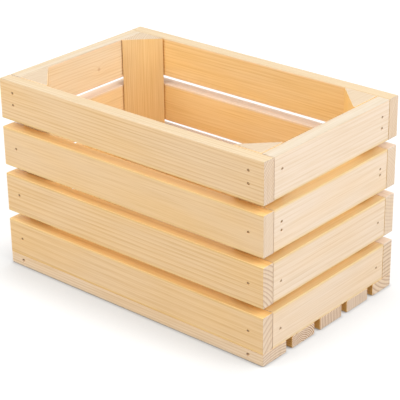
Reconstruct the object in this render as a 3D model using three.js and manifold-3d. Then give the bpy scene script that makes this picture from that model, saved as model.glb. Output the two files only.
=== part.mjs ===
// Slatted storage crate: planed softwood slats nailed to triangular corner posts, over a slatted floor.
// Millimetres, +Z up. X runs along the long sides, Y from front to back, the origin is centred on the ground.
import * as THREE from "three";
import { mergeVertices } from "three/addons/utils/BufferGeometryUtils.js";
import Module from "manifold-3d";

// Crate
const crateLength = 326; // outside, along the long sides
const crateWidth = 202; // outside, front to back

// Wall slats
const wallThickness = 14;
const tierCount = 4;
const slatHeight = 41; // every tier but the lowest
const lowestSlatHeight = 37.5; // ripped narrower, so that the rim comes out level
const slatGap = 9; // air between two tiers

// Floor slats
const floorThickness = 12.5;
const floorSlatCount = 5;
const floorGap = 8.3; // air between two floor slats
const rearSlatRip = 4; // how much narrower than the others the rear floor slat is ripped

// Corner posts, ripped in pairs from square battens, a wide half and a narrow half from each
const widePostLeg = 37.5; // square sides of the triangular section, front left and back right
const narrowPostLeg = 32; // the same, front right and back left
const postTip = 1.6; // blunt face planed on the two thin edges of a post

// Edges and joints
const arris = 1.1; // how far the planed long edges are eased
const sawnEase = 0.5; // chamfer of the sawn ends
const buttGap = 0.5; // hairline between an end slat and the long slat that it butts against
const postGap = 0.3; // hairline between a post and the walls

// Nails
const nailLength = 22;
const nailShankRadius = 0.8;
const nailHeadRadius = 1.2;
const nailHeadThickness = 0.9;
const nailPoint = 2.4; // length of the tapered point
const nailSet = 0.7; // how far the head is driven below the surface
const nailClearance = 0.2; // air round a nail and past its point
const longNailOffset = 3; // from the end wall's inner face to the nails of the long slats
const endNailOffset = 11.5; // from the long wall's inner face to the nails of the end slats
const topNailDrop = 12; // from the rim to the long walls' top nails
const nailStagger = 2.5; // the end walls' nails sit lower by this, so that they pass the long walls' nails

// Facets
const arrisFacets = 3;
const nailFacets = 8;

const wasm = await Module();
wasm.setup();

// Materials
const finishes = {
  wall: { color: 0xe9cb9c, roughness: 0.62, metalness: 0 },
  post: { color: 0xe2bd86, roughness: 0.65, metalness: 0 },
  floor: { color: 0xe5c594, roughness: 0.66, metalness: 0 },
  nail: { color: 0x6f6a64, roughness: 0.45, metalness: 0.9 },
};

// A closed geometry as a solid that can be joined and cut.
function solidOf(geometry) {
  const bare = geometry.clone();
  bare.deleteAttribute("normal");
  bare.deleteAttribute("uv");
  const merged = mergeVertices(bare);
  const mesh = new wasm.Mesh({
    numProp: 3,
    vertProperties: merged.getAttribute("position").array,
    triVerts: new Uint32Array(merged.index.array),
  });
  return new wasm.Manifold(mesh);
}

// The geometry with the bores cut out of it.
function cut(geometry, bores) {
  let solid = solidOf(geometry);
  for (const bore of bores) {
    solid = solid.subtract(solidOf(bore));
  }
  const { vertProperties, triVerts } = solid.getMesh();
  const made = new THREE.BufferGeometry();
  made.setAttribute("position", new THREE.BufferAttribute(vertProperties, 3));
  made.setIndex(new THREE.BufferAttribute(triVerts, 1));
  const faceted = made.toNonIndexed();
  faceted.computeVertexNormals();
  return faceted;
}

function namedMesh(name, geometry, finish) {
  const mesh = new THREE.Mesh(geometry, new THREE.MeshStandardMaterial(finishes[finish]));
  mesh.name = name;
  return mesh;
}

// The section of a slat, standing on y = 0, with its four long edges eased.
function slatSection(thickness, height) {
  const half = thickness / 2;
  const section = new THREE.Shape();
  section.absarc(half - arris, arris, arris, -Math.PI / 2, 0);
  section.absarc(half - arris, height - arris, arris, 0, Math.PI / 2);
  section.absarc(arris - half, height - arris, arris, Math.PI / 2, Math.PI);
  section.absarc(arris - half, arris, arris, Math.PI, (3 * Math.PI) / 2);
  section.closePath();
  return section;
}

// A section extruded between two sawn ends, centred on z = 0.
function sawnLength(section, length) {
  const geometry = new THREE.ExtrudeGeometry(section, {
    depth: length - 2 * sawnEase,
    curveSegments: arrisFacets,
    bevelEnabled: true,
    bevelThickness: sawnEase,
    bevelSize: sawnEase,
    bevelOffset: -sawnEase,
    bevelSegments: 1,
  });
  return geometry.translate(0, 0, sawnEase - length / 2);
}

// A slat lying along X: its section's width runs along Y and its height along Z.
function slat(length, thickness, height) {
  const alongX = new THREE.Matrix4().makeBasis(
    new THREE.Vector3(0, 1, 0),
    new THREE.Vector3(0, 0, 1),
    new THREE.Vector3(1, 0, 0),
  );
  return sawnLength(slatSection(thickness, height), length).applyMatrix4(alongX);
}

// An outline of [radius, depth] points, turned about the Y axis, which runs into the wood from its face.
function turned(outline) {
  const points = outline.map(([radius, depth]) => new THREE.Vector2(radius, depth));
  return new THREE.LatheGeometry(points, nailFacets);
}

function nail() {
  const top = nailSet;
  const underHead = nailSet + nailHeadThickness;
  const tip = nailSet + nailLength;
  return turned([
    [0, top],
    [nailHeadRadius, top],
    [nailHeadRadius, underHead],
    [nailShankRadius, underHead],
    [nailShankRadius, tip - nailPoint],
    [0, tip],
  ]);
}

// The hole that a nail sits in: the same form with air round it, its mouth run out past the face.
function nailBore() {
  const mouth = -nailSet;
  const headBore = nailHeadRadius + nailClearance;
  const shankBore = nailShankRadius + nailClearance;
  const shoulder = nailSet + nailHeadThickness + nailClearance;
  const bottom = nailSet + nailLength + nailClearance;
  return turned([
    [0, mouth],
    [headBore, mouth],
    [headBore, shoulder],
    [shankBore, shoulder],
    [shankBore, bottom],
    [0, bottom],
  ]);
}

// Tiers, counted from the floor up, with heights measured from the floor's upper face
const tiers = [];
for (let tier = 0, bottom = 0; tier < tierCount; tier++) {
  const height = tier === 0 ? lowestSlatHeight : slatHeight;
  const isTop = tier === tierCount - 1;
  const nailHeight = isTop ? bottom + height - topNailDrop : bottom + height / 2;
  tiers.push({ number: tier + 1, bottom, height, nailHeight });
  bottom += height + slatGap;
}
const topTier = tiers[tierCount - 1];
const wallHeight = topTier.bottom + topTier.height;

// One wall: its slats stand behind y = 0, which is the outer face, and run along X between the two ends.
function wall({ side, ends, slatLength, nailReach, nailLower }) {
  const group = new THREE.Group();
  for (const { number, bottom, height, nailHeight } of tiers) {
    const nailPlaces = ends.map((end, i) => {
      const x = i === 0 ? -nailReach : nailReach;
      return { end, place: new THREE.Vector3(x, 0, nailHeight - nailLower) };
    });
    const blank = slat(slatLength, wallThickness, height).translate(0, wallThickness / 2, 0);
    const bores = nailPlaces.map(({ place }) => nailBore().translate(place.x, 0, place.z - bottom));
    const board = namedMesh(`${side}_slat_${number}`, cut(blank, bores), "wall");
    board.position.z = bottom;
    group.add(board);
    for (const { end, place } of nailPlaces) {
      const brad = namedMesh(`nail_${side}_${number}_${end}`, nail(), "nail");
      brad.position.copy(place);
      group.add(brad);
    }
  }
  return group;
}

const longWall = {
  slatLength: crateLength,
  nailReach: crateLength / 2 - wallThickness - longNailOffset,
  nailLower: 0,
};
const endWall = {
  slatLength: crateWidth - 2 * (wallThickness + buttGap),
  nailReach: crateWidth / 2 - wallThickness - endNailOffset,
  nailLower: nailStagger,
};

function wallGroups() {
  const quarter = Math.PI / 2;
  const places = [
    { side: "front", ends: ["left", "right"], build: longWall, turn: 0, x: 0, y: -crateWidth / 2 },
    { side: "right", ends: ["front", "back"], build: endWall, turn: quarter, x: crateLength / 2, y: 0 },
    { side: "back", ends: ["right", "left"], build: longWall, turn: 2 * quarter, x: 0, y: crateWidth / 2 },
    { side: "left", ends: ["back", "front"], build: endWall, turn: 3 * quarter, x: -crateLength / 2, y: 0 },
  ];
  return places.map(({ side, ends, build, turn, x, y }) => {
    const group = wall({ side, ends, ...build });
    group.position.set(x, y, floorThickness);
    group.rotation.z = turn;
    return group;
  });
}

// A post with its square edge on the Z axis and its two square sides along +X and +Y.
// Nails come in through x = 0, beside the Y side, and through y = 0, beside the X side.
function cornerPost(leg, nailsAlongX, nailsAlongY) {
  const blunt = postTip / Math.SQRT2;
  const section = new THREE.Shape();
  section.moveTo(arris, 0);
  section.lineTo(leg - 2 * blunt, 0);
  section.lineTo(leg - blunt, blunt);
  section.lineTo(blunt, leg - blunt);
  section.lineTo(0, leg - 2 * blunt);
  section.lineTo(0, arris);
  section.closePath();
  const blank = sawnLength(section, wallHeight).translate(0, 0, wallHeight / 2);
  const outside = -(wallThickness + postGap);
  const boresAlongX = nailsAlongX.map(({ offset, height }) =>
    nailBore().rotateZ(-Math.PI / 2).translate(outside, offset - postGap, height),
  );
  const boresAlongY = nailsAlongY.map(({ offset, height }) =>
    nailBore().translate(offset - postGap, outside, height),
  );
  return cut(blank, [...boresAlongX, ...boresAlongY]);
}

function cornerPosts() {
  const longNails = tiers.map(({ nailHeight }) => ({ offset: longNailOffset, height: nailHeight }));
  const endNails = tiers.map(({ nailHeight }) => ({
    offset: endNailOffset,
    height: nailHeight - nailStagger,
  }));
  const corners = [
    { name: "front_left", x: -1, y: -1, leg: widePostLeg },
    { name: "front_right", x: 1, y: -1, leg: narrowPostLeg },
    { name: "back_right", x: 1, y: 1, leg: widePostLeg },
    { name: "back_left", x: -1, y: 1, leg: narrowPostLeg },
  ];
  const inset = wallThickness + postGap;
  return corners.map(({ name, x, y, leg }, turn) => {
    const endWallOnX = turn % 2 === 0;
    const [nailsAlongX, nailsAlongY] = endWallOnX ? [endNails, longNails] : [longNails, endNails];
    const geometry = cornerPost(leg, nailsAlongX, nailsAlongY);
    const post = namedMesh(`corner_post_${name}`, geometry, "post");
    post.position.set(x * (crateLength / 2 - inset), y * (crateWidth / 2 - inset), floorThickness);
    post.rotation.z = (turn * Math.PI) / 2;
    return post;
  });
}

// Floor slats lie lengthwise under the walls, from front to back.
function floorSlats() {
  const fullWidth = (crateWidth - (floorSlatCount - 1) * floorGap + rearSlatRip) / floorSlatCount;
  const boards = [];
  for (let i = 0, front = -crateWidth / 2; i < floorSlatCount; i++) {
    const width = i === floorSlatCount - 1 ? fullWidth - rearSlatRip : fullWidth;
    const board = namedMesh(`floor_slat_${i + 1}`, slat(crateLength, width, floorThickness), "floor");
    board.position.y = front + width / 2;
    boards.push(board);
    front += width + floorGap;
  }
  return boards;
}

const crate = new THREE.Group();
crate.add(...floorSlats(), ...cornerPosts(), ...wallGroups());

export default crate;
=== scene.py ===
"""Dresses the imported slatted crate: planed spruce boards and posts, set nails, and a plain studio."""

import math
import random
from collections import namedtuple

import bmesh
import bpy
from bpy.props import FloatProperty, FloatVectorProperty, IntProperty, PointerProperty
from bpy.types import Operator, Panel, PropertyGroup
from mathutils import Matrix, Quaternion, Vector, noise


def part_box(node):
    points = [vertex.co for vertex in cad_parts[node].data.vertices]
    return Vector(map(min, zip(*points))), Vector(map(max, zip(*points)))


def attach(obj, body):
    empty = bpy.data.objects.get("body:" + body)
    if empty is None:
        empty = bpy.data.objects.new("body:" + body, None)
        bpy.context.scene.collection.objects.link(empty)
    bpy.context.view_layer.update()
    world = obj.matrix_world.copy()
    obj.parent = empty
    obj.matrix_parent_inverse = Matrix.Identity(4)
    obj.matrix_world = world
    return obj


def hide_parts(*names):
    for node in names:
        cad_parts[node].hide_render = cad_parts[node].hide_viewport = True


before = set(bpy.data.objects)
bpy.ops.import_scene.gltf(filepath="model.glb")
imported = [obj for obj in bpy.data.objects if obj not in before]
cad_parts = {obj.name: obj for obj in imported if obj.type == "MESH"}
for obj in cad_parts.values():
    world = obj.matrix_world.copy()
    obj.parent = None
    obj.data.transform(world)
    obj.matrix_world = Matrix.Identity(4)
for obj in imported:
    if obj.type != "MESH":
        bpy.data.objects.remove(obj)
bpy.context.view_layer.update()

bl_info = {
    "name": "Slatted Crate",
    "version": (1, 0, 0),
    "blender": (4, 5, 0),
    "location": "View3D > Sidebar > Crate",
    "description": "Boards, posts and nails of a slatted softwood crate, built on its packed frame",
    "category": "Object",
}

MM = 0.001
TOUCH = 0.01 * MM  # closer than this counts as the same place
SQUARE_ON = 0.99  # the least cosine between a face's normal and the direction that it faces

# Directions and names, as the frame has them
X, Y, Z = range(3)
AXES = (Vector((1, 0, 0)), Vector((0, 1, 0)), Vector((0, 0, 1)))
UP = AXES[Z]
LONG_WALLS = {"front": -AXES[Y], "back": AXES[Y]}
END_WALLS = {"left": -AXES[X], "right": AXES[X]}
WALLS = {**LONG_WALLS, **END_WALLS}
TIERS = (1, 2, 3, 4)
SLATS = [f"{wall}_slat_{tier}" for wall in WALLS for tier in TIERS]
LOWEST_SLATS = [f"{wall}_slat_{TIERS[0]}" for wall in WALLS]
RIM = [f"{wall}_slat_{TIERS[-1]}" for wall in WALLS]
# Slats whose upper edges stand against daylight in the gaps, and so are crisp, and pale with a painted
# highlight of that daylight
FAR_SLATS = [f"back_slat_{tier}" for tier in TIERS] + ["left_slat_3", "left_slat_4"]
FLOOR_SLATS = sorted(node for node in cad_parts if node.startswith("floor_slat"))
POSTS = sorted(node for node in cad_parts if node.startswith("corner_post"))

# Nail sizes that the frame holds
NAIL_LOW, NAIL_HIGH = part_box("nail_front_1_left")
NAIL_LENGTH = NAIL_HIGH.y - NAIL_LOW.y
NAIL_HEAD_RADIUS = (NAIL_HIGH.x - NAIL_LOW.x) / 2
NAIL_SET = NAIL_LOW.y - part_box("front_slat_1")[0].y

# Second nails: how far each stands above (or below) the first nail at that end of the slat, in millimetres
SECOND_NAILS = {
    "nail_front_4_left": -12.5, "nail_front_4_right": -12.5,
    "nail_back_4_left": -12.5, "nail_back_4_right": -12.5,
    "nail_right_4_back": -11, "nail_left_4_front": -11,
    "nail_right_3_front": 8.4, "nail_right_3_back": 6,
    "nail_left_3_front": 6, "nail_left_3_back": 8.4,
}

# How a board lay in its log: the pith's place from the board's middle, outwards (on the floor to the back, on
# a post to the right) and upwards (on a post to the back), and the width of a year's ring, in millimetres; its
# tone from pale (0) to tan (1) on the outer and the inner face; how strongly the rings show; and how far the
# fibres climb along the board.
Log = namedtuple("Log", "pith ring outer inner figure slope")
LOGS = {
    "front_slat_4": Log((-95, -75), 2.1, 0.52, 0.70, 0.42, 0.004),
    "front_slat_3": Log((-60, -58), 2.6, 0.57, 0.70, 0.12, 0.006),
    "front_slat_2": Log((40, -43), 3.7, 0.58, 0.70, 0.42, 0.002),
    "front_slat_1": Log((-52, -64), 5.6, 0.58, 0.70, 0.29, 0.008),
    # The right wall's slats are palest outside: a painted highlight for that lit side
    "right_slat_4": Log((30, 95), 4.2, -0.05, 0.20, 0.24, 0.004),
    "right_slat_3": Log((-25, -110), 6.0, 0.10, 0.60, 0.10, -0.004),
    "right_slat_2": Log((20, 120), 6.2, 0.08, 0.60, 0.30, 0.004),
    "right_slat_1": Log((-80, 70), 4.4, 0.10, 0.60, 0.06, 0.004),
    "back_slat_4": Log((-66, 48), 2.2, 0.68, 0.66, 0.30, 0.004),
    "back_slat_3": Log((-60, -52), 2.4, 0.62, 0.66, 0.16, -0.004),
    "back_slat_2": Log((30, 90), 3.6, 0.58, 0.70, 0.16, 0.003),
    "back_slat_1": Log((6, -80), 4.2, 0.62, 0.70, 0.45, 0.003),
    "left_slat_4": Log((-40, -80), 3.0, 0.70, 0.12, 0.26, 0.006),
    "left_slat_3": Log((30, -95), 3.4, 0.60, 0.45, 0.26, 0.004),
    "floor_slat_1": Log((4, -70), 2.8, 0.55, 0.30, 0.45, 0.003),
    "floor_slat_2": Log((-3, -13), 1.9, 0.30, 0.30, 1.0, 0.004),
    "floor_slat_3": Log((-130, 2), 2.4, 0.32, 0.32, 0.9, 0.002),
    "floor_slat_4": Log((-120, 4), 1.8, 0.28, 0.28, 0.6, 0.002),
    "corner_post_back_left": Log((60, 42), 2.0, 0.55, 0.55, 0.30, 0.002),
    "corner_post_front_left": Log((-70, 50), 2.4, 0.35, 0.35, 0.25, 0.002),
    # The back right post is tan all through: painted shade on its face inside the crate
    "corner_post_back_right": Log((45, -60), 2.6, 0.85, 0.85, 0.15, 0.002),
}
# The one knot that shows: its place along the slat and upwards from the middle, in millimetres
KNOTS = {"left_slat_4": (21.7, -2.5)}
# The way from the knot, where there is none within a metre
NO_KNOT = Vector((1, 1, 1))
# The place between two edges, half their distance, and how far painted shade darkens them: far from any edge,
# and on a post's top
NO_EDGE = Vector((0, 1, 0))
POST_TOP = Vector((0, 0, 0.75))
# How far painted shade darkens the upper edges inside the gaps, where the rim is 1
GAP_SHADE = {"right": 0.2}

Nail = namedtuple("Nail", "name point inward stands_for")


def linear(code):
    """The linear RGB of an sRGB hex colour."""
    shares = [int(code[i:i + 2], 16) / 255 for i in (0, 2, 4)]
    return tuple(s / 12.92 if s <= 0.04045 else ((s + 0.055) / 1.055) ** 2.4 for s in shares)


# Settings that lengths and colours share
LENGTH = {"min": 0, "unit": "LENGTH", "precision": 5}
COLOUR = {"subtype": "COLOR", "min": 0, "max": 1}


class CrateBoards(PropertyGroup):
    """How the boards and posts are worked."""

    arris: FloatProperty(
        name="Arris", description="Rounding of the planed long edges", default=1.1 * MM, **LENGTH)
    joint_arris: FloatProperty(
        name="Joint arris", description="Rounding of the long edges at the floor joint and in the far gaps",
        default=0.5 * MM, **LENGTH)
    gap_arris: FloatProperty(
        name="Gap arris", description="Rounding of the long edges inside the gaps", default=0.6 * MM, **LENGTH)
    foot_arris: FloatProperty(
        name="Foot arris", description="Rounding of the long edges that the crate stands on",
        default=1.7 * MM, **LENGTH)
    sawn_ease: FloatProperty(
        name="Sawn ease", description="Rounding of the cross-cut ends", default=0.45 * MM, **LENGTH)
    wander: FloatProperty(
        name="Wander", description="How far the planed edges wander from straight, inwards",
        default=0.2 * MM, **LENGTH)
    wander_length: FloatProperty(
        name="Wander length", description="Distance over which the edges wander",
        default=55 * MM, min=MM, unit="LENGTH")
    cut_spacing: FloatProperty(
        name="Cut spacing", description="Distance between the loops along a board",
        default=12 * MM, min=MM, unit="LENGTH")
    post_tip: FloatProperty(
        name="Post tip", description="Blunt face on the two thin edges of a post", default=1.6 * MM, **LENGTH)


class CrateWood(PropertyGroup):
    """Colours of the spruce."""

    pale: FloatVectorProperty(
        name="Pale wood", description="Early wood of the palest boards", default=linear("F7E2CC"), **COLOUR)
    tan: FloatVectorProperty(
        name="Tan wood", description="Early wood of the most tanned boards", default=linear("FCCA77"), **COLOUR)
    late_wood: FloatVectorProperty(
        name="Late wood", description="What a year's late wood takes from the colour",
        default=linear("E8D8B6"), **COLOUR)
    fibre: FloatVectorProperty(
        name="Fibre", description="What the darker fibres take from the colour",
        default=linear("F4EEE1"), **COLOUR)
    end_grain: FloatVectorProperty(
        name="End grain", description="Early wood on a cross-cut end", default=linear("EAD7C4"), **COLOUR)
    end_late_wood: FloatVectorProperty(
        name="End late wood", description="What a year's late wood takes from a cross-cut end",
        default=linear("BC9470"), **COLOUR)
    end_contrast: FloatProperty(
        name="End contrast", description="How much more the rings show on a cross-cut end than on a face",
        default=1.1, min=0)
    rim_tan: FloatProperty(
        name="Rim tan", description="Tone that the rim tends to, from pale to tan", default=0.3, min=0, max=1)
    # Painted shade: this darkens the rim, the post tops and the right wall's upper gap edges, most in red, to
    # hold down how bright the light from above makes them
    rim_wear: FloatVectorProperty(
        name="Rim wear", description="What hands have taken from the colour of the rim",
        default=linear("E1EAF2"), **COLOUR)
    # Painted shade: the edges inside the gaps are drawn toward a tanner tone and a warmer tint, for the dim,
    # warm light deep in them
    gap_tan: FloatProperty(
        name="Gap tan", description="Tone that the edges inside the gaps tend to, from pale to tan",
        default=0.4, min=0, max=1)
    gap_tint: FloatVectorProperty(
        name="Gap tint", description="What age has taken from the colour of the edges inside the gaps",
        default=linear("FEFADB"), **COLOUR)
    # Painted shade: a warmer tint on the faces inside the crate, for the light bounced warm between its walls
    inner_tint: FloatVectorProperty(
        name="Inner tint", description="What age has taken from the colour of the faces inside the crate",
        default=linear("FCFFF5"), **COLOUR)
    # Painted shade: the floor slats' sides, seen only deep in the gaps between them, are made full tan
    floor_side_tan: FloatProperty(
        name="Floor side tan", description="Tone of the floor slats' sides inside the gaps, from pale to tan",
        default=1, min=0, max=1)
    post_top_tan: FloatProperty(
        name="Post top tan", description="Tone of the posts' cross-cut tops, from pale to tan",
        default=1.2, min=0)
    edge_share: FloatProperty(
        name="Edge share", description="How far the rim and gap edges go from the face's tone to their own",
        default=0.45, min=0, max=1)
    edge_reach: FloatProperty(
        name="Edge reach", description="How far an edge's tone runs on to the faces",
        default=3.5 * MM, **LENGTH)
    knot: FloatVectorProperty(
        name="Knot", description="Heart of a knot", default=linear("C08F5C"), **COLOUR)


class CrateNails(PropertyGroup):
    """Sizes of the nails and of the holes that they sit in."""

    head_radius: FloatProperty(
        name="Head radius", description="Radius of a nail's head", default=NAIL_HEAD_RADIUS, **LENGTH)
    head_thickness: FloatProperty(
        name="Head thickness", description="Thickness of a nail's head", default=0.9 * MM, **LENGTH)
    shank_radius: FloatProperty(
        name="Shank radius", description="Radius of a nail's shank", default=0.8 * MM, **LENGTH)
    point: FloatProperty(
        name="Point", description="Length of a nail's tapered point", default=2.4 * MM, **LENGTH)
    clearance: FloatProperty(
        name="Clearance", description="Air round a nail and past its point", default=0.2 * MM, **LENGTH)
    crushed_rim: FloatProperty(
        name="Crushed rim", description="Width and depth of the crushed fibres round a nail hole",
        default=0.3 * MM, **LENGTH)
    facets: IntProperty(name="Facets", description="Sides of a nail and of its hole", default=16, min=6)
    steel: FloatVectorProperty(
        name="Steel", description="Colour of the dulled wire", default=linear("C6A880"), **COLOUR)
    stain: FloatVectorProperty(
        name="Stain", description="Colour of the wire where it has darkened",
        default=linear("9C7C54"), **COLOUR)


class CrateStudio(PropertyGroup):
    """The camera, the sweep and the lamps."""

    target: FloatVectorProperty(
        name="Target", description="Point that the camera looks at",
        subtype="XYZ", unit="LENGTH", default=(7.176 * MM, -3.451 * MM, 84.313 * MM))
    azimuth: FloatProperty(
        name="Azimuth", description="Turn of the camera round the crate, from the front to the right",
        subtype="ANGLE", default=math.radians(40.841))
    elevation: FloatProperty(
        name="Elevation", description="Height of the camera above the horizon",
        subtype="ANGLE", default=math.radians(24.966))
    distance: FloatProperty(
        name="Distance", description="From the camera to its target", unit="LENGTH", default=1.4532)
    roll: FloatProperty(
        name="Roll", description="Lean of the camera", subtype="ANGLE", default=math.radians(-0.773))
    lens: FloatProperty(
        name="Lens", description="Focal length in millimetres, on a sensor 36 mm wide", default=133.8)
    sweep: FloatVectorProperty(
        name="Sweep", description="Colour of the paper floor", default=linear("A4A4A3"), **COLOUR)
    lift: FloatProperty(
        name="Lift", description="What is added to the paper where it is seen, so that it comes out white",
        default=0.67)
    shade_depth: FloatProperty(
        name="Shade depth", description="How much of that lift the crate's shade takes away",
        default=0.68, min=0, max=1)
    shade_reach: FloatProperty(
        name="Shade reach", description="How far from the crate the lift falls off, so that its shadow stays",
        default=50 * MM, min=0, unit="LENGTH")
    shade_from: FloatVectorProperty(
        name="Shade from", description="Direction that the light of that shadow comes from",
        subtype="DIRECTION", default=(0.25, 0.52, 0.8))
    contact_reach: FloatProperty(
        name="Contact reach", description="How far the dark line runs out from under the crate",
        default=4 * MM, **LENGTH)
    dome: FloatProperty(name="Dome", description="Strength of the soft light all round", default=0.46)


# Materials

# Sockets of a Mix node that blends colours
MIX_A, MIX_B, MIX_RESULT = 6, 7, 2


def add_node(tree, kind, inputs=None, **settings):
    """Adds a node with its settings. Each input is a value or the socket that it links to."""
    node = tree.nodes.new(kind)
    for name, value in settings.items():
        setattr(node, name, value)
    for name, value in (inputs or {}).items():
        if isinstance(value, bpy.types.NodeSocket):
            tree.links.new(value, node.inputs[name])
        else:
            node.inputs[name].default_value = value
    return node


def new_material(name):
    """An empty node material and its tree."""
    material = bpy.data.materials.new(name)
    material.use_nodes = True
    material.node_tree.nodes.clear()
    return material, material.node_tree


def seen(tree, path):
    """Whether a ray comes from the camera, straight or by way of metal or glass."""
    sight = path["Is Camera Ray"]
    for kind in ("Is Glossy Ray", "Is Transmission Ray"):
        sight = add_node(tree, "ShaderNodeMath", {0: sight, 1: path[kind]}, operation="MAXIMUM").outputs[0]
    return sight


Growth = namedtuple("Growth", "grain late_wood fibre tone figure knot rim gap inside")


def growth_nodes(tree, look):
    """What the log and painted shade give a board: year rings, fibres, blotches, tone, the knot and the edges.
    """
    grain = add_node(tree, "ShaderNodeAttribute", attribute_name="grain").outputs["Vector"]
    board = add_node(tree, "ShaderNodeAttribute", attribute_name="board").outputs["Vector"]
    ring_width, tone, figure = add_node(tree, "ShaderNodeSeparateXYZ", {0: board}).outputs
    from_knot = add_node(tree, "ShaderNodeAttribute", attribute_name="knot").outputs["Vector"]
    to_knot = add_node(tree, "ShaderNodeVectorMath", {0: from_knot}, operation="LENGTH").outputs["Value"]

    # Three noises drawn out along the fibres, with their length and width in millimetres and their detail: a
    # slow wander, bundles of fibres, and blotches. Fibres are a few hundredths of a millimetre wide: their
    # bundles are drawn a millimetre wide, so that they show.
    noises = []
    for length, width, detail in ((240, 40, 2), (60, 1.1, 3), (110, 24, 1)):
        scale = (1 / (length * MM), 1 / (width * MM), 1 / (width * MM))
        drawn_out = add_node(tree, "ShaderNodeVectorMath", {0: grain, 1: scale}, operation="MULTIPLY")
        noises.append(add_node(
            tree, "ShaderNodeTexNoise", {"Vector": drawn_out.outputs[0], "Scale": 1, "Detail": detail}))
    wander, bundles, blotch = noises

    # Rings are cylinders round the pith, pushed about by the wander and swept aside by the knot.
    reach = 2 * MM
    pushed = add_node(
        tree, "ShaderNodeVectorMath",
        {0: wander.outputs["Color"], 1: (reach, reach, reach), 2: grain}, operation="MULTIPLY_ADD")
    flat = add_node(tree, "ShaderNodeVectorMath", {0: pushed.outputs[0], 1: (0, 1, 1)}, operation="MULTIPLY")
    radius = add_node(tree, "ShaderNodeVectorMath", {0: flat.outputs[0]}, operation="LENGTH").outputs["Value"]
    swept = add_node(
        tree, "ShaderNodeMapRange",
        {"Value": to_knot, "From Min": 2 * MM, "From Max": 12 * MM, "To Min": 2.5 * MM, "To Max": 0},
        interpolation_type="SMOOTHSTEP")
    radius = add_node(tree, "ShaderNodeMath", {0: radius, 1: swept.outputs[0]}, operation="ADD").outputs[0]
    width = add_node(tree, "ShaderNodeMath", {0: ring_width, 1: MM}, operation="MULTIPLY")
    years = add_node(tree, "ShaderNodeMath", {0: radius, 1: width.outputs[0]}, operation="DIVIDE").outputs[0]
    season = add_node(
        tree, "ShaderNodeTexNoise", {"W": years, "Scale": 0.4, "Detail": 1}, noise_dimensions="1D")
    unevenness = 0.8
    years = add_node(
        tree, "ShaderNodeMath", {0: season.outputs["Fac"], 1: unevenness, 2: years},
        operation="MULTIPLY_ADD").outputs[0]
    # Late wood builds up slowly through the year and ends sharply.
    year = add_node(tree, "ShaderNodeMath", {0: years}, operation="FRACT").outputs[0]
    rise = add_node(
        tree, "ShaderNodeMapRange", {"Value": year, "From Min": 0.4, "From Max": 0.88},
        interpolation_type="SMOOTHSTEP")
    fall = add_node(
        tree, "ShaderNodeMapRange", {"Value": year, "From Min": 1.0, "From Max": 0.93},
        interpolation_type="SMOOTHSTEP")
    late_wood = add_node(
        tree, "ShaderNodeMath", {0: rise.outputs[0], 1: fall.outputs[0]}, operation="MULTIPLY")

    # Bundles of fibres darken the wood, and blotches shift its tone either way.
    fibre = add_node(
        tree, "ShaderNodeMapRange", {"Value": bundles.outputs["Fac"], "From Min": 0.42, "From Max": 0.72})
    depth = 0.09
    lift = add_node(
        tree, "ShaderNodeMapRange",
        {"Value": blotch.outputs["Fac"], "From Min": 0.3, "From Max": 0.7, "To Min": -depth, "To Max": depth})
    tone = add_node(tree, "ShaderNodeMath", {0: tone, 1: lift.outputs[0]}, operation="ADD").outputs[0]

    # The narrow edges have a tone of their own, which runs on to the faces: painted shade inside the gaps and
    # between the floor slats, and a painted highlight on the far slats' upper edges. The painted shade that
    # darkens the lit upper edges stays close to an edge, and the painted warm shade of the inner faces stops
    # short of it.
    on_it, dimmed_to = 0.2 * MM, 1.2 * MM
    edge = add_node(tree, "ShaderNodeAttribute", attribute_name="edge").outputs["Vector"]
    place, half, dimming = add_node(tree, "ShaderNodeSeparateXYZ", {0: edge}).outputs
    off = add_node(tree, "ShaderNodeMath", {0: place}, operation="ABSOLUTE")
    inset = add_node(tree, "ShaderNodeMath", {0: half, 1: off.outputs[0]}, operation="SUBTRACT")
    near = add_node(
        tree, "ShaderNodeMapRange", {"Value": inset.outputs[0], "From Min": look.edge_reach, "From Max": on_it},
        interpolation_type="SMOOTHSTEP")
    trim = add_node(tree, "ShaderNodeAttribute", attribute_name="trim").outputs["Fac"]
    tone = add_node(tree, "ShaderNodeMix", {0: near.outputs[0], 2: tone, 3: trim})
    on_edge = add_node(
        tree, "ShaderNodeMapRange", {"Value": inset.outputs[0], "From Min": dimmed_to, "From Max": on_it},
        interpolation_type="SMOOTHSTEP")
    rim = add_node(tree, "ShaderNodeMath", {0: on_edge.outputs[0], 1: dimming}, operation="MULTIPLY")
    in_gap = add_node(tree, "ShaderNodeAttribute", attribute_name="in_gap").outputs["Fac"]
    gap = add_node(tree, "ShaderNodeMath", {0: near.outputs[0], 1: in_gap}, operation="MULTIPLY")
    inward = add_node(tree, "ShaderNodeAttribute", attribute_name="inside").outputs["Fac"]
    inside = add_node(
        tree, "ShaderNodeMath", {0: inward, 1: near.outputs[0]}, operation="SUBTRACT", use_clamp=True)
    knot = add_node(
        tree, "ShaderNodeMapRange",
        {"Value": to_knot, "From Min": 2.8 * MM, "From Max": 1.0 * MM, "To Min": 0, "To Max": 0.4},
        interpolation_type="SMOOTHSTEP")
    return Growth(
        grain, late_wood.outputs[0], fibre.outputs[0], tone.outputs[0], figure, knot.outputs[0],
        rim.outputs[0], gap.outputs[0], inside.outputs[0])


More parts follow.
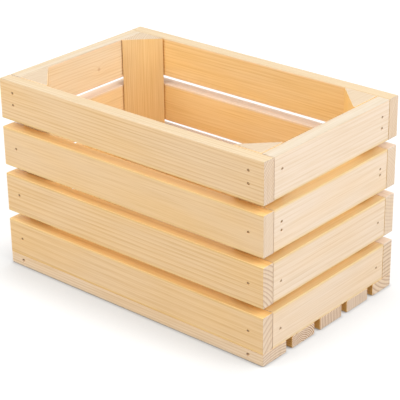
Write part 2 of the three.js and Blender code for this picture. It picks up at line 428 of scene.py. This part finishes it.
def planed_spruce(look):
    """Planed spruce, untreated: a satin, straight-grained cream with late wood in thin amber lines."""
    material, tree = new_material("planed_spruce")
    growth = growth_nodes(tree, look)
    ground = add_node(
        tree, "ShaderNodeMix", {0: growth.tone, MIX_A: (*look.pale, 1), MIX_B: (*look.tan, 1)},
        data_type="RGBA")
    lines = add_node(tree, "ShaderNodeMath", {0: growth.late_wood, 1: growth.figure}, operation="MULTIPLY")
    colour = ground.outputs[MIX_RESULT]
    # Three takings are painted shade: the warm tint of the inner faces, the tint of the gap edges and the
    # darkening of the lit edges
    takings = (
        (lines.outputs[0], look.late_wood), (growth.fibre, look.fibre), (growth.inside, look.inner_tint),
        (growth.gap, look.gap_tint), (growth.rim, look.rim_wear))
    for share, taken in takings:
        colour = add_node(
            tree, "ShaderNodeMix", {0: share, MIX_A: colour, MIX_B: (*taken, 1)},
            data_type="RGBA", blend_type="MULTIPLY").outputs[MIX_RESULT]
    knotted = add_node(
        tree, "ShaderNodeMix", {0: growth.knot, MIX_A: colour, MIX_B: (*look.knot, 1)}, data_type="RGBA")
    # The plane leaves the hard late wood smoother and a hair proud of the soft early wood.
    gloss = add_node(tree, "ShaderNodeMapRange", {"Value": lines.outputs[0], "To Min": 0.56, "To Max": 0.46})
    height = add_node(
        tree, "ShaderNodeMath", {0: growth.fibre, 1: -0.5, 2: lines.outputs[0]}, operation="MULTIPLY_ADD")
    bump = add_node(
        tree, "ShaderNodeBump", {"Height": height.outputs[0], "Strength": 0.6, "Distance": 0.05 * MM})
    surface = add_node(tree, "ShaderNodeBsdfPrincipled", {
        "Base Color": knotted.outputs[MIX_RESULT], "Roughness": gloss.outputs[0], "IOR": 1.5,
        "Normal": bump.outputs[0]})
    add_node(tree, "ShaderNodeOutputMaterial", {"Surface": surface.outputs[0]})
    return material


def cross_cut_spruce(look):
    """Cross-cut spruce: the saw opens the cells, so the end is matt and greyer, with rings and saw marks."""
    material, tree = new_material("cross_cut_spruce")
    growth = growth_nodes(tree, look)
    tone_share = 0.25
    warmth = add_node(tree, "ShaderNodeMath", {0: growth.tone, 1: tone_share}, operation="MULTIPLY")
    ground = add_node(
        tree, "ShaderNodeMix", {0: warmth.outputs[0], MIX_A: (*look.end_grain, 1), MIX_B: (*look.tan, 1)},
        data_type="RGBA")
    figure = add_node(tree, "ShaderNodeMath", {0: growth.figure, 1: look.end_contrast}, operation="MULTIPLY")
    lines = add_node(
        tree, "ShaderNodeMath", {0: growth.late_wood, 1: figure.outputs[0]},
        operation="MULTIPLY", use_clamp=True)
    # The teeth leave upright scores about 0.7 mm apart, drawn at 1.4 mm so that they show.
    teeth = add_node(
        tree, "ShaderNodeVectorMath", {0: growth.grain, 1: (0, 1 / (1.4 * MM), 1 / (45 * MM))},
        operation="MULTIPLY")
    scores = add_node(tree, "ShaderNodeTexNoise", {"Vector": teeth.outputs[0], "Scale": 1, "Detail": 2})
    shaded = add_node(
        tree, "ShaderNodeMapRange",
        {"Value": scores.outputs["Fac"], "From Min": 0.45, "From Max": 0.75, "To Min": 0, "To Max": 0.7})
    colour = ground.outputs[MIX_RESULT]
    # The last taking is painted shade: it darkens the lit rims and post tops
    takings = (
        (lines.outputs[0], look.end_late_wood), (shaded.outputs[0], look.fibre), (growth.rim, look.rim_wear))
    for share, taken in takings:
        colour = add_node(
            tree, "ShaderNodeMix", {0: share, MIX_A: colour, MIX_B: (*taken, 1)},
            data_type="RGBA", blend_type="MULTIPLY").outputs[MIX_RESULT]
    rough = add_node(tree, "ShaderNodeMapRange", {"Value": lines.outputs[0], "To Min": 0.85, "To Max": 0.7})
    bump = add_node(
        tree, "ShaderNodeBump", {"Height": scores.outputs["Fac"], "Strength": 0.6, "Distance": 0.12 * MM})
    surface = add_node(tree, "ShaderNodeBsdfPrincipled", {
        "Base Color": colour, "Roughness": rough.outputs[0], "IOR": 1.5, "Normal": bump.outputs[0]})
    add_node(tree, "ShaderNodeOutputMaterial", {"Surface": surface.outputs[0]})
    return material


def drawn_steel(look):
    """Drawn steel wire, dulled in the air: a grey-brown metal with a soft, blotched shine."""
    material, tree = new_material("drawn_steel")
    place = add_node(tree, "ShaderNodeTexCoord").outputs["Object"]
    specks = add_node(tree, "ShaderNodeTexNoise", {"Vector": place, "Scale": 1 / (0.6 * MM), "Detail": 3})
    shade = add_node(
        tree, "ShaderNodeMix", {0: specks.outputs["Fac"], MIX_A: (*look.steel, 1), MIX_B: (*look.stain, 1)},
        data_type="RGBA")
    rough = add_node(
        tree, "ShaderNodeMapRange", {"Value": specks.outputs["Fac"], "To Min": 0.38, "To Max": 0.62})
    bump = add_node(
        tree, "ShaderNodeBump", {"Height": specks.outputs["Fac"], "Strength": 0.4, "Distance": 0.03 * MM})
    surface = add_node(tree, "ShaderNodeBsdfPrincipled", {
        "Base Color": shade.outputs[MIX_RESULT], "Metallic": 1, "Roughness": rough.outputs[0],
        "Normal": bump.outputs[0]})
    add_node(tree, "ShaderNodeOutputMaterial", {"Surface": surface.outputs[0]})
    return material


def paper_sweep(look):
    """Matt background paper, lifted to white where it is seen, and clear from below to show the underside."""
    material, tree = new_material("paper_sweep")
    paper = add_node(tree, "ShaderNodeBsdfDiffuse", {"Color": (*look.sweep, 1)})
    path = add_node(tree, "ShaderNodeLightPath").outputs
    toward_light = add_node(tree, "ShaderNodeCombineXYZ", dict(enumerate(look.shade_from))).outputs[0]
    samples = 16
    open_sky = add_node(
        tree, "ShaderNodeAmbientOcclusion", {"Distance": look.shade_reach, "Normal": toward_light},
        samples=samples).outputs["AO"]
    lift = add_node(
        tree, "ShaderNodeMapRange",
        {"Value": open_sky, "To Min": look.lift * (1 - look.shade_depth), "To Max": look.lift})
    contact = add_node(
        tree, "ShaderNodeAmbientOcclusion", {"Distance": look.contact_reach}, samples=samples).outputs["AO"]
    lift = add_node(tree, "ShaderNodeMath", {0: lift.outputs[0], 1: contact}, operation="MULTIPLY")
    lift = add_node(tree, "ShaderNodeMath", {0: seen(tree, path), 1: lift.outputs[0]}, operation="MULTIPLY")
    glow = add_node(tree, "ShaderNodeEmission", {"Color": (1, 1, 1, 1), "Strength": lift.outputs[0]})
    white = add_node(tree, "ShaderNodeAddShader", {0: paper.outputs[0], 1: glow.outputs[0]})
    # Light that has come less than a millimetre is on its way from the underside, which stands on the paper.
    below = add_node(tree, "ShaderNodeNewGeometry").outputs["Backfacing"]
    sole = add_node(tree, "ShaderNodeMath", {0: path["Ray Length"], 1: MM}, operation="LESS_THAN")
    see_through = add_node(tree, "ShaderNodeMath", {0: below, 1: sole.outputs[0]}, operation="MAXIMUM")
    clear = add_node(tree, "ShaderNodeBsdfTransparent")
    surface = add_node(
        tree, "ShaderNodeMixShader", {0: see_through.outputs[0], 1: white.outputs[0], 2: clear.outputs[0]})
    add_node(tree, "ShaderNodeOutputMaterial", {"Surface": surface.outputs[0]})
    return material


def material_of(maker, look):
    """The material that a function makes, made once."""
    return bpy.data.materials.get(maker.__name__) or maker(look)


def spruce_of(scene):
    """The two finishes of a board: planed along it, cross-cut on its ends."""
    return [material_of(planed_spruce, scene.crate_wood), material_of(cross_cut_spruce, scene.crate_wood)]


# Nails

def middle(node):
    """The middle of a node's box."""
    low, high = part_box(node)
    return (low + high) / 2


def to_face(point, box, outward):
    """A point moved straight out to a box's face on that side."""
    low, high = box
    corner = high if sum(outward) > 0 else low
    return point + outward * (corner - point).dot(outward)


def wall_nails():
    """The nails of the four walls: the frame's own, and the second ones beside them."""
    nails = []
    for wall, outward in WALLS.items():
        ends = ("left", "right") if wall in LONG_WALLS else ("front", "back")
        for tier in TIERS:
            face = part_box(f"{wall}_slat_{tier}")
            for end in ends:
                node = f"nail_{wall}_{tier}_{end}"
                point = to_face(middle(node), face, outward)
                nails.append(Nail(f"set_{node}", point, -outward, node))
                if node in SECOND_NAILS:
                    beside = point + UP * SECOND_NAILS[node] * MM
                    nails.append(Nail(f"set_second_{node}", beside, -outward, None))
    return nails


def floor_nails():
    """Nails that hold the floor slats up to the end walls from below, one at each end of each slat."""
    nails = []
    from_end = 10 * MM
    for wall in END_WALLS:
        low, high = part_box(f"{wall}_slat_1")
        for node in FLOOR_SLATS:
            depth = min(max(middle(node).y, low.y + from_end), high.y - from_end)
            point = Vector(((low.x + high.x) / 2, depth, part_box(node)[0].z))
            nails.append(Nail(f"set_floor_nail_{node[-1]}_{wall}", point, UP, None))
    return nails


def toe_nails():
    """Nails driven slanting up through the outer edges of the front and back floor slats into the walls."""
    nails = []
    deeper, above_middle = 0.4 * MM, 0.8 * MM
    for wall, node in (("front", FLOOR_SLATS[0]), ("back", FLOOR_SLATS[-1])):
        outward = LONG_WALLS[wall]
        for end in ("left", "right"):
            beside = middle(f"nail_{wall}_1_{end}")
            height = middle(node).z + above_middle
            point = to_face(Vector((beside.x, beside.y, height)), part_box(node), outward)
            point -= outward * deeper
            # Three up for every four in
            slant = (UP * 0.6 - outward * 0.8).normalized()
            nails.append(Nail(f"set_toe_nail_{wall}_{end}", point, slant, None))
    return nails


STRAIGHT_NAILS = wall_nails() + floor_nails()
TOE_NAILS = toe_nails()


def nail_mesh(bm, nail, sizes):
    """Turns a nail: a slightly domed head, a shank and a tapered point, set below the surface of the wood."""
    head, shank, lip = sizes.head_radius, sizes.shank_radius, 0.15 * MM
    under_head = NAIL_SET + sizes.head_thickness
    tip = NAIL_SET + NAIL_LENGTH
    outline = [
        (0, NAIL_SET), (head - 2 * lip, NAIL_SET + lip / 3), (head, NAIL_SET + lip), (head, under_head - lip),
        (shank, under_head), (shank, tip - sizes.point), (shank / 2, tip - sizes.point / 3), (0, tip),
    ]
    corners = [bm.verts.new((radius, 0, depth)) for radius, depth in outline]
    edges = [bm.edges.new(pair) for pair in zip(corners, corners[1:])]
    bmesh.ops.spin(
        bm, geom=corners + edges, cent=(0, 0, 0), axis=UP, angle=math.tau, steps=sizes.facets, use_merge=True)
    bmesh.ops.remove_doubles(bm, verts=bm.verts, dist=TOUCH)
    bmesh.ops.recalc_face_normals(bm, faces=bm.faces)
    turn = UP.rotation_difference(nail.inward).to_matrix().to_4x4()
    bmesh.ops.transform(bm, matrix=Matrix.Translation(nail.point) @ turn, verts=bm.verts)
    for face in bm.faces:
        face.smooth = True


# Boards

def block(box):
    """A bmesh of a plain block that fills a box."""
    low, high = box
    bm = bmesh.new()
    place = Matrix.Translation((low + high) / 2) @ Matrix.Diagonal((*(high - low), 1))
    bmesh.ops.create_cube(bm, size=1, matrix=place)
    return bm


def round_edges(bm, edges, radius, segments):
    """Rounds edges, and shades the rounding smooth."""
    made = bmesh.ops.bevel(
        bm, geom=edges, offset=radius, offset_type="OFFSET", segments=segments, profile=0.5,
        affect="EDGES", clamp_overlap=True, material=-1)
    for face in made["faces"]:
        face.smooth = True


def ends_of(bm, along):
    """The faces square to a board's length."""
    bm.normal_update()
    return [face for face in bm.faces if abs(face.normal[along]) > SQUARE_ON]


def ease_ends(bm, along, radius):
    """Rounds the sharp rims that the saw leaves at both ends."""
    rims = {edge for face in ends_of(bm, along) for edge in face.edges}
    round_edges(bm, list(rims), radius, segments=2)


def let_edges_wander(bm, box, along, sizes):
    """Cuts loops along a board between its nails and draws its edges in, here more and there less."""
    low, high = box
    centre = (low + high) / 2
    nailed_end = 26 * MM
    start, stop = low[along] + nailed_end, high[along] - nailed_end
    count = max(2, round((stop - start) / sizes.cut_spacing))
    for i in range(count + 1):
        place = centre.copy()
        place[along] = start + (stop - start) * i / count
        bmesh.ops.bisect_plane(
            bm, geom=bm.verts[:] + bm.edges[:] + bm.faces[:], plane_co=place, plane_no=AXES[along])
    # The four edges lie far enough apart in the noise to wander each on its own.
    apart = 5
    for vert in bm.verts:
        off = vert.co - centre
        run = off[along] / sizes.wander_length
        off[along] = 0
        corner = Vector([math.copysign(apart, x) for x in off])
        share = 0.5 + 0.5 * noise.noise(corner + centre / MM + AXES[along] * run)
        vert.co -= off.normalized() * sizes.wander * share


def face_at(bm, point, normal):
    """The flat face with that normal that holds the point."""
    bm.normal_update()
    slack = 0.001 * MM
    for face in bm.faces:
        if face.normal.dot(normal) < SQUARE_ON:
            continue
        offs = [vert.co - point for vert in face.verts]
        flat = [off - normal * off.dot(normal) for off in offs]
        spans = [(min(off[i] for off in flat), max(off[i] for off in flat)) for i in range(3)]
        near = abs(offs[0].dot(normal)) < MM
        if near and all(lowest < slack and highest > -slack for lowest, highest in spans):
            return face
    raise RuntimeError(f"no face at {tuple(point)} faces {tuple(normal)}")


def window(bm, point, normal, half):
    """Cuts a square free round a point of a flat side, and returns its face."""
    for axis in AXES:
        if abs(axis.dot(normal)) > 0.5:
            continue
        for side in (-half, half):
            face = face_at(bm, point, normal)
            bmesh.ops.bisect_plane(
                bm, geom=[face, *face.edges, *face.verts], plane_co=point + axis * side, plane_no=axis)
    return face_at(bm, point, normal)


def sink(bm, point, normal, rings, facets):
    """Sinks a round hole into a flat side through rings of (radius, depth), and returns its bottom face."""
    margin, sliver = 1.6, 0.02 * MM
    face = window(bm, point, normal, rings[0][0] * margin)
    cuts = max(1, facets // 4 - 1)
    bmesh.ops.bisect_edges(bm, edges=face.edges[:], cuts=cuts)
    for radius, depth in rings:
        bmesh.ops.inset_individual(bm, faces=[face], thickness=sliver, depth=0)
        for vert in face.verts:
            off = vert.co - point
            off -= normal * off.dot(normal)
            vert.co = point + off.normalized() * radius - normal * depth
    return face


def bore(bm, box, nail, sizes):
    """Bores a block for a nail: recessed where the head sits in it, and through where the nail goes on."""
    outward = -nail.inward
    entry, leaving = to_face(nail.point, box, outward), to_face(nail.point, box, nail.inward)
    start = (entry - nail.point).dot(nail.inward)
    thickness = (leaving - entry).dot(nail.inward)
    tip = NAIL_SET + NAIL_LENGTH + sizes.clearance - start
    shank, head = sizes.shank_radius + sizes.clearance, sizes.head_radius + sizes.clearance
    rings = [(shank, 0)]
    holds_head = start < 0.1 * MM
    if holds_head:
        shoulder = NAIL_SET + sizes.head_thickness + sizes.clearance
        rim = sizes.crushed_rim
        rings = [(head + rim, 0), (head, rim), (head, shoulder), (shank, shoulder)]
    if tip < thickness:
        sink(bm, entry, outward, rings + [(shank, tip)], sizes.facets)
        return
    inner = sink(bm, entry, outward, rings, sizes.facets)
    outer = sink(bm, leaving, nail.inward, [(shank, 0)], sizes.facets)
    loops = [*inner.edges, *outer.edges]
    bmesh.ops.delete(bm, geom=[inner, outer], context="FACES_ONLY")
    bmesh.ops.bridge_loops(bm, edges=loops)


def nails_in(box):
    """The straight nails that reach into a box."""
    found = []
    for nail in STRAIGHT_NAILS:
        tip = nail.point + nail.inward * (NAIL_SET + NAIL_LENGTH)
        spans = zip(*box, map(min, nail.point, tip), map(max, nail.point, tip))
        if all(low < last + MM and first < high - TOUCH for low, high, first, last in spans):
            found.append(nail)
    return found


def log_of(name):
    """How a board lay in its log: as the list says, or drawn by lot from its name."""
    if name in LOGS:
        return LOGS[name]
    lot = random.Random(name)
    pith = (lot.uniform(-60, 60), lot.choice((-1, 1)) * lot.uniform(35, 110))
    outer = lot.uniform(0.52, 0.66)
    ring, figure, slope = lot.uniform(2.2, 4.2), lot.uniform(0.25, 0.5), lot.uniform(-0.006, 0.006)
    return Log(pith, ring, outer, outer + 0.1, figure, slope)


def edge_tone(node, tone, upper, look):
    """The tone of a board's narrow edge, or of a post's top."""
    if node in RIM and upper:
        return tone + look.edge_share * (look.rim_tan - tone)
    # Painted shade on the floor slats' sides in the gaps
    if node in FLOOR_SLATS:
        return look.floor_side_tan
    if node in POSTS:
        return look.post_top_tan
    # Painted highlight: the far slats' upper edges are made palest, for the daylight behind them
    if node in FAR_SLATS and upper:
        return 0
    if node in LOWEST_SLATS and not upper:
        return tone
    # Painted shade: the other edges inside the gaps go toward a tanner tone
    return tone + look.edge_share * (look.gap_tan - tone)


def edge_wear(node, upper):
    """How far painted shade darkens a slat's lit upper edge."""
    if not upper:
        return 0
    return 1 if node in RIM else GAP_SHADE.get(node.split("_")[0], 0)


def lay_in_log(bm, node, along, across, upward, look):
    """Gives each vertex its place in the log and between the edges, and the board's rings, tone and knot."""
    log = log_of(node)
    low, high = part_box(node)
    centre = (low + high) / 2
    thickness, height = (abs((high - low).dot(axis)) for axis in (across, upward))
    start = random.Random(node + " start").uniform(0, 4)
    grain = bm.verts.layers.float_vector.new("grain")
    board = bm.verts.layers.float_vector.new("board")
    edge = bm.verts.layers.float_vector.new("edge")
    trim = bm.verts.layers.float.new("trim")
    in_gap = bm.verts.layers.float.new("in_gap")
    inside = bm.verts.layers.float.new("inside")
    knot = bm.verts.layers.float_vector.new("knot")
    for vert in bm.verts:
        off = vert.co - centre
        run, out, up = off[along], off.dot(across), off.dot(upward)
        climb = log.slope * run
        vert[grain] = Vector((start + run, out - log.pith[0] * MM + climb, up - log.pith[1] * MM + climb))
        tone = log.inner + (log.outer - log.inner) * (0.5 + out / thickness)
        vert[board] = Vector((log.ring, tone, log.figure))
        vert[edge] = NO_EDGE
        if node in SLATS:
            vert[edge] = Vector((up, height / 2, edge_wear(node, up > 0)))
            # The painted shade of the gaps falls on all but the far slats' and the rim's upper edges
            vert[in_gap] = node not in FAR_SLATS and (node not in RIM or up < 0)
            # The inner faces take the painted warm shade of the inside
            vert[inside] = 0.5 - out / thickness
        elif node in POSTS:
            # A post stands wholly inside, in that painted warm shade
            vert[inside] = 1
            if vert.co.z > high.z - TOUCH:
                vert[edge] = POST_TOP
        # The floor slats' sides between slats take painted shade; the outermost sides don't
        elif node != FLOOR_SLATS[0 if out < 0 else -1]:
            vert[edge] = Vector((out, thickness / 2, 0))
        vert[trim] = edge_tone(node, tone, up > 0, look)
        vert[knot] = NO_KNOT
        if node in KNOTS:
            vert[knot] = Vector((run - KNOTS[node][0] * MM, 0, up - KNOTS[node][1] * MM))


def add_piece(bm, name, materials, node=None):
    """Makes a piece of a finished bmesh, rides it on the crate and lets it stand for its node."""
    mesh = bpy.data.meshes.new(name)
    bm.to_mesh(mesh)
    bm.free()
    for material in materials:
        mesh.materials.append(material)
    piece = bpy.data.objects.new(name, mesh)
    bpy.context.scene.collection.objects.link(piece)
    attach(piece, "root")
    if node:
        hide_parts(node)


def finish_wood(bm, node, along, across, upward, scene):
    """Bores a board or post for its nails, gives its ends their own finish and puts it in place."""
    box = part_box(node)
    for nail in nails_in(box):
        bore(bm, box, nail, scene.crate_nails)
    bmesh.ops.recalc_face_normals(bm, faces=bm.faces)
    cut_face = 0.7
    for face in bm.faces:
        face.material_index = 1 if abs(face.normal[along]) > cut_face else 0
    lay_in_log(bm, node, along, across, upward, scene.crate_wood)
    add_piece(bm, f"planed_{node}", spruce_of(scene), node)


def arrises(node, sizes):
    """How far a board's lower and upper long edges are rounded."""
    if node in FLOOR_SLATS:
        return sizes.foot_arris, sizes.joint_arris
    in_gap = sizes.joint_arris if node in FAR_SLATS else sizes.gap_arris
    lower = sizes.joint_arris if node in LOWEST_SLATS else in_gap
    upper = sizes.arris if node in RIM else in_gap
    return lower, upper


def add_board(node, along, across, scene):
    """A planed board along one axis: rounded edges that wander a little, sawn ends and nail holes."""
    sizes = scene.crate_boards
    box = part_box(node)
    bm = block(box)
    lower_arris, upper_arris = arrises(node, sizes)
    long_edges = [edge for edge in bm.edges if abs((edge.verts[0].co - edge.verts[1].co)[along]) > TOUCH]
    level = middle(node).z
    lower = [edge for edge in long_edges if edge.verts[0].co.z < level]
    upper = [edge for edge in long_edges if edge.verts[0].co.z > level]
    round_edges(bm, lower, lower_arris, segments=4)
    round_edges(bm, upper, upper_arris, segments=4)
    ease_ends(bm, along, sizes.sawn_ease)
    if node not in FAR_SLATS:
        let_edges_wander(bm, box, along, sizes)
    if node in (FLOOR_SLATS[0], FLOOR_SLATS[-1]):
        recess_toe_nails(bm, box, scene.crate_nails)
    finish_wood(bm, node, along, across, UP, scene)


def add_walls(walls, along, scene):
    """The slats of two facing walls."""
    for wall, outward in walls.items():
        for tier in TIERS:
            add_board(f"{wall}_slat_{tier}", along, outward, scene)


def recess_toe_nails(bm, box, sizes):
    """Sinks the recesses that the slanting nails' heads sit in."""
    for nail in TOE_NAILS:
        outward = LONG_WALLS["front"] if nail.inward.y > 0 else LONG_WALLS["back"]
        mouth = to_face(nail.point, box, outward)
        if (mouth - nail.point).length > MM:
            continue
        hole, rim = sizes.head_radius + sizes.clearance, sizes.crushed_rim
        rings = [(hole + 2 * rim, 0), (hole + rim, 2 * NAIL_SET), (hole, 3 * NAIL_SET)]
        sink(bm, mouth, outward, rings, sizes.facets)


def add_post(node, scene):
    """A post of triangular section: a block cut along its diagonal, with two blunt tips and rounded edges."""
    sizes = scene.crate_boards
    low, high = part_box(node)
    bm = block((low, high))
    inward_x = AXES[X] if "left" in node else -AXES[X]
    inward_y = AXES[Y] if "front" in node else -AXES[Y]
    corner = to_face(to_face(low, (low, high), -inward_x), (low, high), -inward_y)
    blunt = sizes.post_tip / math.sqrt(2)
    leg = high.x - low.x + blunt
    cuts = [
        (corner + inward_x * leg, inward_x + inward_y),
        (corner + inward_x * (leg - 2 * blunt), inward_x - inward_y),
        (corner + inward_y * (leg - 2 * blunt), inward_y - inward_x),
    ]
    for place, outside in cuts:
        bmesh.ops.bisect_plane(
            bm, geom=bm.verts[:] + bm.edges[:] + bm.faces[:], plane_co=place, plane_no=outside,
            clear_outer=True)
        bmesh.ops.holes_fill(bm, edges=bm.edges[:])
    upright = [edge for edge in bm.edges if abs((edge.verts[0].co - edge.verts[1].co).z) > MM]
    square = [edge for edge in upright if (edge.verts[0].co - corner).xy.length < MM]
    round_edges(bm, square, sizes.arris, segments=3)
    ease_ends(bm, Z, sizes.sawn_ease)
    finish_wood(bm, node, Z, AXES[X], AXES[Y], scene)


# Operators

class CRATE_OT_floor_slats(Operator):
    """Builds the five floor slats"""

    bl_idname = "crate.floor_slats"
    bl_label = "Floor Slats"

    def execute(self, context):
        for node in FLOOR_SLATS:
            add_board(node, X, AXES[Y], context.scene)
        return {"FINISHED"}


class CRATE_OT_corner_posts(Operator):
    """Builds the four triangular corner posts"""

    bl_idname = "crate.corner_posts"
    bl_label = "Corner Posts"

    def execute(self, context):
        for node in POSTS:
            add_post(node, context.scene)
        return {"FINISHED"}


class CRATE_OT_long_walls(Operator):
    """Builds the slats of the front and back walls"""

    bl_idname = "crate.long_walls"
    bl_label = "Long Walls"

    def execute(self, context):
        add_walls(LONG_WALLS, X, context.scene)
        return {"FINISHED"}


class CRATE_OT_end_walls(Operator):
    """Builds the slats of the two end walls"""

    bl_idname = "crate.end_walls"
    bl_label = "End Walls"

    def execute(self, context):
        add_walls(END_WALLS, Y, context.scene)
        return {"FINISHED"}


class CRATE_OT_nails(Operator):
    """Drives the nails of the walls and the floor"""

    bl_idname = "crate.nails"
    bl_label = "Nails"

    def execute(self, context):
        sizes = context.scene.crate_nails
        for nail in STRAIGHT_NAILS + TOE_NAILS:
            bm = bmesh.new()
            nail_mesh(bm, nail, sizes)
            add_piece(bm, nail.name, [material_of(drawn_steel, sizes)], nail.stands_for)
        return {"FINISHED"}


# Softboxes: where they stand and how large they are, in metres, and how bright their panels are
Lamp = namedtuple("Lamp", "name place size strength")
LAMPS = (
    Lamp("front_softbox", (-0.95, -1.55, 1.4), (1.6, 1.2), 4.2),
    Lamp("high_softbox", (-0.6, -1.0, 1.9), (1.4, 1.0), 1.55),
    Lamp("right_softbox", (1.62, 0.15, 1.25), (1.2, 1.2), 5.5),
    Lamp("back_softbox", (-1.05, 1.22, 0.6), (2.0, 0.8), 1.2),
    Lamp("top_softbox", (0.55, 0.45, 1.7), (1.2, 1.0), 0.8),
)


def add_lamp(lamp, target):
    """A softbox that faces the crate. Its strength is what its panel shows, so that 1 is white."""
    light = bpy.data.lights.new(lamp.name, "AREA")
    light.shape = "RECTANGLE"
    light.size, light.size_y = lamp.size
    light.energy = math.pi * lamp.size[0] * lamp.size[1] * lamp.strength
    panel = bpy.data.objects.new(lamp.name, light)
    panel.location = lamp.place
    panel.rotation_euler = (target - panel.location).to_track_quat("-Z", "Y").to_euler()
    panel.visible_camera = False
    bpy.context.scene.collection.objects.link(panel)


def add_camera(look):
    """The camera of the photograph: a long lens from the front right, a little above the rim."""
    turn, rise = look.azimuth, look.elevation
    back = Vector((math.sin(turn) * math.cos(rise), -math.cos(turn) * math.cos(rise), math.sin(rise)))
    data = bpy.data.cameras.new("camera")
    data.sensor_width = 36
    data.lens = look.lens
    camera = bpy.data.objects.new("camera", data)
    camera.location = Vector(look.target) + back * look.distance
    aim = (-back).to_track_quat("-Z", "Y") @ Quaternion(UP, look.roll)
    camera.rotation_euler = aim.to_euler()
    bpy.context.scene.collection.objects.link(camera)
    bpy.context.scene.camera = camera


def add_sweep(look):
    """A wide paper floor under the crate."""
    bm = bmesh.new()
    half_width = 6
    bmesh.ops.create_grid(bm, x_segments=1, y_segments=1, size=half_width)
    mesh = bpy.data.meshes.new("sweep")
    bm.to_mesh(mesh)
    bm.free()
    mesh.materials.append(material_of(paper_sweep, look))
    sweep = bpy.data.objects.new("sweep", mesh)
    bpy.context.scene.collection.objects.link(sweep)


def add_world(look):
    """Soft light all round, and plain white where the camera, metal or glass sees past the floor."""
    world = bpy.data.worlds.new("studio")
    world.use_nodes = True
    tree = world.node_tree
    tree.nodes.clear()
    path = add_node(tree, "ShaderNodeLightPath").outputs
    dome = add_node(tree, "ShaderNodeBackground", {"Color": (1, 1, 1, 1), "Strength": look.dome})
    white = add_node(tree, "ShaderNodeBackground", {"Color": (1, 1, 1, 1), "Strength": 1})
    mixed = add_node(
        tree, "ShaderNodeMixShader", {0: seen(tree, path), 1: dome.outputs[0], 2: white.outputs[0]})
    add_node(tree, "ShaderNodeOutputWorld", {"Surface": mixed.outputs[0]})
    bpy.context.scene.world = world


class CRATE_OT_stage(Operator):
    """Sets the camera, the paper sweep, the lamps and the world"""

    bl_idname = "crate.stage"
    bl_label = "Stage"

    def execute(self, context):
        look = context.scene.crate_studio
        context.scene.view_settings.view_transform = "Standard"
        add_camera(look)
        add_sweep(look)
        add_world(look)
        for lamp in LAMPS:
            add_lamp(lamp, Vector(look.target))
        return {"FINISHED"}


class CRATE_PT_panel(Panel):
    """Lists the crate's sizes, colours and build steps"""

    bl_idname = "CRATE_PT_panel"
    bl_label = "Slatted Crate"
    bl_space_type = "VIEW_3D"
    bl_region_type = "UI"
    bl_category = "Crate"

    def draw(self, context):
        for group in GROUPS:
            settings = getattr(context.scene, group)
            column = self.layout.column(align=True)
            for name in settings.bl_rna.properties.keys():
                if name not in ("rna_type", "name"):
                    column.prop(settings, name)
        for operator in OPERATORS:
            self.layout.operator(operator.bl_idname)


GROUPS = {
    "crate_boards": CrateBoards,
    "crate_wood": CrateWood,
    "crate_nails": CrateNails,
    "crate_studio": CrateStudio,
}
OPERATORS = (
    CRATE_OT_stage, CRATE_OT_floor_slats, CRATE_OT_corner_posts,
    CRATE_OT_long_walls, CRATE_OT_end_walls, CRATE_OT_nails,
)
CLASSES = (*GROUPS.values(), *OPERATORS, CRATE_PT_panel)


def register():
    for cls in CLASSES:
        bpy.utils.register_class(cls)
    for name, group in GROUPS.items():
        setattr(bpy.types.Scene, name, PointerProperty(type=group))


def unregister():
    for name in GROUPS:
        delattr(bpy.types.Scene, name)
    for cls in reversed(CLASSES):
        bpy.utils.unregister_class(cls)


def main():
    register()
    bpy.ops.crate.stage()
    bpy.ops.crate.floor_slats()
    bpy.ops.crate.corner_posts()
    bpy.ops.crate.long_walls()
    bpy.ops.crate.end_walls()
    bpy.ops.crate.nails()


if __name__ == "__main__":
    main()
